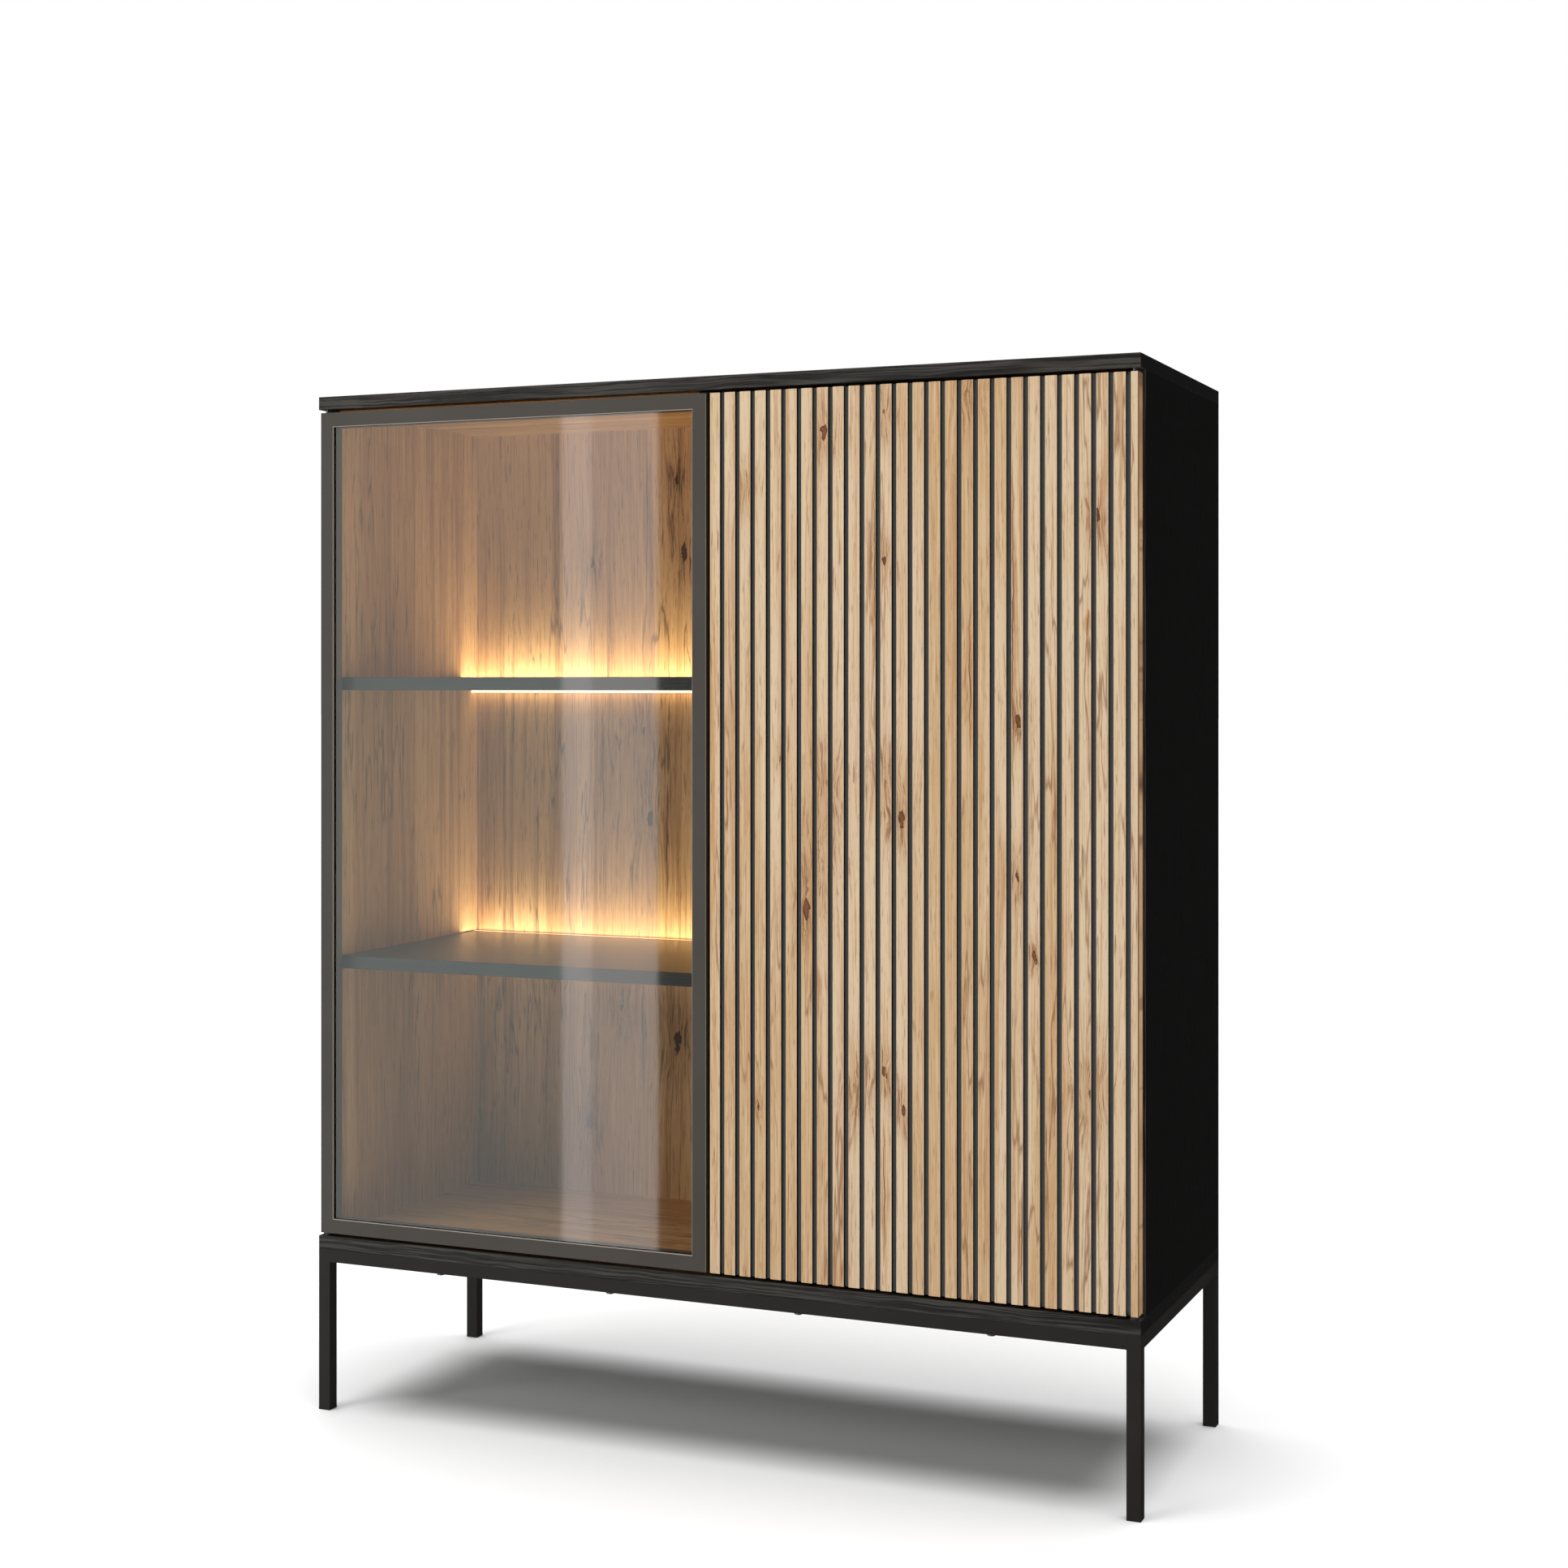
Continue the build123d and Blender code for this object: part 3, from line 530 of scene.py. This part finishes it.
def moulded_plastic(name, colour, lighter, roughness):
    """A plastic with a fine moulded texture and slightly uneven colour."""
    f = Finish(name)
    texture = f.noise(f.x * 1400, f.y * 1400, f.z * 1400, detail=1)
    cloud = f.noise(f.x * 20, f.y * 20, f.z * 20, detail=2)
    return f.coat_of(
        Base_Color=f.blend(colour, lighter, cloud.rise(0.3, 0.7)),
        Roughness=roughness + 0.12 * texture,
        Normal=f.bump(texture, distance=0.00006, strength=0.5),
    )


def plated_steel(name, colour, roughness):
    """Bare plated steel, brushed along its length."""
    f = Finish(name)
    brushed = f.noise(f.x * 900, f.y * 900, f.z * 120, detail=2)
    return f.coat_of(
        Base_Color=f.blend(colour, paint(150, 148, 140), brushed.rise(0.4, 0.8) * 0.5),
        Metallic=1.0,
        Roughness=roughness + 0.15 * brushed,
        Normal=f.bump(brushed, distance=0.00004, strength=0.4),
    )


def raw_beech():
    f = Finish("beech")
    lines = f.noise(f.x * 900, f.y * 900, f.z * 40, detail=2)
    return f.coat_of(
        Base_Color=f.blend(paint(220, 184, 138), paint(192, 150, 104), lines.rise(0.35, 0.7)),
        Roughness=0.65 + 0.1 * lines,
    )


def diffuser_finish():
    f = Finish("opal_diffuser")
    cloud = f.noise(f.x * 30, f.y * 200, f.z * 200, detail=1)
    glow = f.blend(paint(255, 222, 170), paint(255, 230, 184), cloud)
    return f.coat_of(
        Base_Color=paint(240, 236, 226),
        Roughness=0.35 + 0.05 * cloud,
        Emission_Color=glow,
        Emission_Strength=1.9,
    )


def clear_glass():
    """Clear pane: light goes straight through, and its front surface reflects more at a slant."""
    f = Finish("clear_glass")
    slant = f.node("ShaderNodeFresnel", {}, {"IOR": 1.5})
    inside = f.node("ShaderNodeNewGeometry", {}, {}, output="Backfacing")
    clear = f.node("ShaderNodeBsdfTransparent", {}, {"Color": (0.975, 0.982, 0.978, 1.0)})
    gloss = f.node("ShaderNodeBsdfGlossy", {}, {"Color": (1, 1, 1, 1), "Roughness": 0.03})
    mirrored = (slant * BOTH_FACES * (1 - inside)).clamped()
    return f.surface(f.node("ShaderNodeMixShader", {}, {0: mirrored, 1: clear, 2: gloss}))


def rubber():
    f = Finish("gasket_rubber")
    skin = f.noise(f.x * 1100, f.y * 1100, f.z * 1100, detail=2)
    return f.coat_of(
        Base_Color=f.blend(paint(18, 18, 18), paint(30, 29, 28), skin),
        Roughness=0.7 + 0.1 * skin,
        Normal=f.bump(skin, distance=0.00005, strength=0.5),
    )


# Finishes that are made the same way: colour, a lighter colour, and roughness
PLASTICS = {
    "foot_plastic": ((34, 33, 32), (42, 40, 39), 0.5),
    "strip_plastic": ((44, 42, 40), (54, 51, 48), 0.5),
    "door_plastic": ((58, 55, 52), (66, 62, 58), 0.5),
    "bush_plastic": ((60, 60, 60), (72, 72, 72), 0.4),
    "latch_plastic": ((80, 80, 80), (94, 94, 92), 0.45),
    "plunger_plastic": ((150, 150, 148), (164, 164, 160), 0.4),
    "light_strip": ((232, 230, 222), (240, 238, 230), 0.4),
    "driver_plastic": ((226, 224, 218), (234, 232, 226), 0.45),
    "lead_sheath": ((224, 222, 216), (232, 230, 224), 0.35),
}


def door_frame_finish():
    colours = paint(67, 61, 56), paint(74, 68, 62)
    # The bevels round the window carry a painted highlight.
    return coated_metal("door_frame", *colours, roughness=0.38, grain=900, edge_highlight=0.55)


def base_finish():
    colours = paint(37, 34, 32), paint(43, 40, 37)
    return coated_metal("base_steel", *colours, roughness=0.5, grain=1200)


def light_profile_finish():
    colours = paint(60, 60, 60), paint(76, 76, 76)
    return coated_metal("light_profile", *colours, roughness=0.4, grain=700, metallic=0.6)


FINISHES = {
    "black_shelf": shelf_finish,
    "oak_back_panel": back_panel_finish,
    "slat_oak": slat_finish,
    "slat_backing": slat_panel_finish,
    "beech": raw_beech,
    "clear_glass": clear_glass,
    "gasket_rubber": rubber,
    "light_diffuser": diffuser_finish,
    "door_frame": door_frame_finish,
    "frame_steel": base_finish,
    "light_profile": light_profile_finish,
    "cleat_metal": lambda: plated_steel("cleat_metal", paint(176, 176, 174), 0.45),
    "zinc_steel": lambda: plated_steel("zinc_steel", paint(200, 200, 196), 0.3),
}


def finish_for(slot):
    if slot in PLASTICS:
        colour, lighter, roughness = PLASTICS[slot]
        return moulded_plastic(slot, paint(*colour), paint(*lighter), roughness)
    return FINISHES[slot]()


def assign(node, material):
    for slot in frame["nodes"][node].material_slots:
        slot.material = material


UPRIGHT_BOARDS = ("left_side_panel", "right_side_panel", "centre_divider")


def finish_all():
    """Gives each node the finish that its slot asks for; nodes of one slot share it."""
    level_finish = board_finish("dark_oak_level", "x", 0.6)
    upright_finish = board_finish("dark_oak_upright", "z", 0.2, WALL_KNOTS, WALL_CHECKS)
    made = {}
    for subpart in frame["record"]["subparts"]:
        node = subpart["node"]
        slot = subpart["material_slot"]
        if slot == "dark_oak_board":
            assign(node, upright_finish if node in UPRIGHT_BOARDS else level_finish)
            continue
        if slot not in made:
            made[slot] = finish_for(slot)
        assign(node, made[slot])


finish_all()


# ---------------------------------------------------------------- stage, light, camera
def floor():
    half = 60.0
    corners = [(-half, -half, 0), (half, -half, 0), (half, half, 0), (-half, half, 0)]
    mesh = bpy.data.meshes.new("floor")
    mesh.from_pydata(corners, [], [(0, 1, 2, 3)])
    plane = bpy.data.objects.new("floor", mesh)
    bpy.context.scene.collection.objects.link(plane)
    plane.visible_glossy = False
    f = Finish("pale_floor")
    cloud = f.noise(f.x * 0.8, f.y * 0.8, 0.0, detail=2)
    white = f.blend((0.86, 0.86, 0.86, 1.0), (0.88, 0.88, 0.88, 1.0), cloud)
    matt = f.coat_of(Base_Color=white, Roughness=0.9 + 0.05 * cloud, Specular_IOR_Level=0.0)
    mesh.materials.append(matt)


def lamp(data, name, place, target):
    """Hangs a lamp at a place, aimed at a target."""
    hung = bpy.data.objects.new(name, data)
    bpy.context.scene.collection.objects.link(hung)
    hung.location = place
    aim = Vector(target) - Vector(place)
    hung.rotation_euler = aim.to_track_quat("-Z", "Y").to_euler()
    hung.visible_camera = False
    return hung


def panel_light(name, place, target, size, brightness, colour):
    """A flat rectangular lamp; brightness 1 looks as bright as white paper."""
    data = bpy.data.lights.new(name, "AREA")
    data.shape = "RECTANGLE"
    data.size, data.size_y = size
    data.energy = math.pi * size[0] * size[1] * brightness
    data.color = colour
    return lamp(data, name, place, target)


def shelf_light(level, brightness):
    """The light that leaves a shelf's back edge: up the back wall, and a little down it."""
    low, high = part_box(f"{level}_led_diffuser")
    middle = (low.x + high.x) / 2
    warm = (1.0, 0.89, 0.62)
    gap = 0.001     # between a glow and what is behind or above it
    far = 9
    for way, width, z, target, share in (
        ("up", 0.044, high.z + gap, far, 1.0),
        ("down", 0.014, low.z - gap, -far, 0.1),
    ):
        y = back_panel_front - width / 2 - gap
        size = (high.x - low.x, width)
        ends = (middle, y, z), (middle, y, target)
        glow = panel_light(f"{level}_glow_{way}", *ends, size, brightness * share, warm)
        glow.visible_glossy = False


def reflector(name, x, y, width, brightness, colour):
    """A tall panel in front of the cabinet, which shows in the glass and lights the frame."""
    middle = 0.6
    height = 5.6
    ends = (x, y, middle), (x, 0.0, middle)
    return panel_light(name, *ends, (width, height), brightness, colour)


def studio():
    """A large softbox at the front left, reflectors beside it, and even light from overhead."""
    white = (1.0, 0.985, 0.965)
    cool = (0.88, 1.0, 0.97)
    softbox = panel_light("softbox", (-2.6, -4.2, 2.9), (0.0, 0.0, 0.7), (2.6, 2.6), 3.6, white)
    softbox.visible_glossy = False
    reflector("far_reflector", -2.90, -4.0, 1.44, 1.12, cool)
    reflector("near_reflector", -2.025, -4.0, 0.31, 1.95, white)
    reflector("strip", -2.13, -3.99, 0.10, 0.7, white).visible_diffuse = False
    overhead = bpy.data.lights.new("overhead", "SUN")
    overhead.energy = 3.9
    overhead.angle = math.radians(60)
    lamp(overhead, "overhead", (0, 0, 6), (0, 0, 0)).visible_glossy = False


# How bright the world is as a light, in reflections, and where the camera sees it
FILL_STRENGTH = 0.17
MIRRORED_STRENGTH = 0.045
SEEN_STRENGTH = 1.0


def backdrop():
    """White where the camera looks past the object, a dim fill, and nearly black in reflections."""
    world = bpy.data.worlds.new("studio")
    bpy.context.scene.world = world
    world.use_nodes = True
    tree = Tree(world.node_tree)
    seen = tree.node("ShaderNodeLightPath", {}, {}, output="Is Camera Ray")
    mirrored = tree.node("ShaderNodeLightPath", {}, {}, output="Is Glossy Ray")
    fill, dark, white = [
        tree.node("ShaderNodeBackground", {}, {"Color": (1, 1, 1, 1), "Strength": strength})
        for strength in (FILL_STRENGTH, MIRRORED_STRENGTH, SEEN_STRENGTH)
    ]
    unseen = tree.node("ShaderNodeMixShader", {}, {0: mirrored, 1: fill, 2: dark})
    both = tree.node("ShaderNodeMixShader", {}, {0: seen, 1: unseen, 2: white})
    tree.node("ShaderNodeOutputWorld", {}, {"Surface": both})


def camera():
    data = bpy.data.cameras.new("camera")
    data.lens = 55.98
    data.sensor_width = 36.0
    data.shift_x = 0.02206
    data.shift_y = -0.06345
    seen_from = bpy.data.objects.new("camera", data)
    bpy.context.scene.collection.objects.link(seen_from)
    seen_from.location = (1.1695, -2.7615, 0.9001)
    seen_from.rotation_euler = (math.pi / 2, 0.0, 0.40668)
    bpy.context.scene.camera = seen_from


floor()
studio()
shelf_light("upper", 8.5)
shelf_light("lower", 7.0)
backdrop()
camera()
bpy.context.scene.view_settings.view_transform = "Standard"
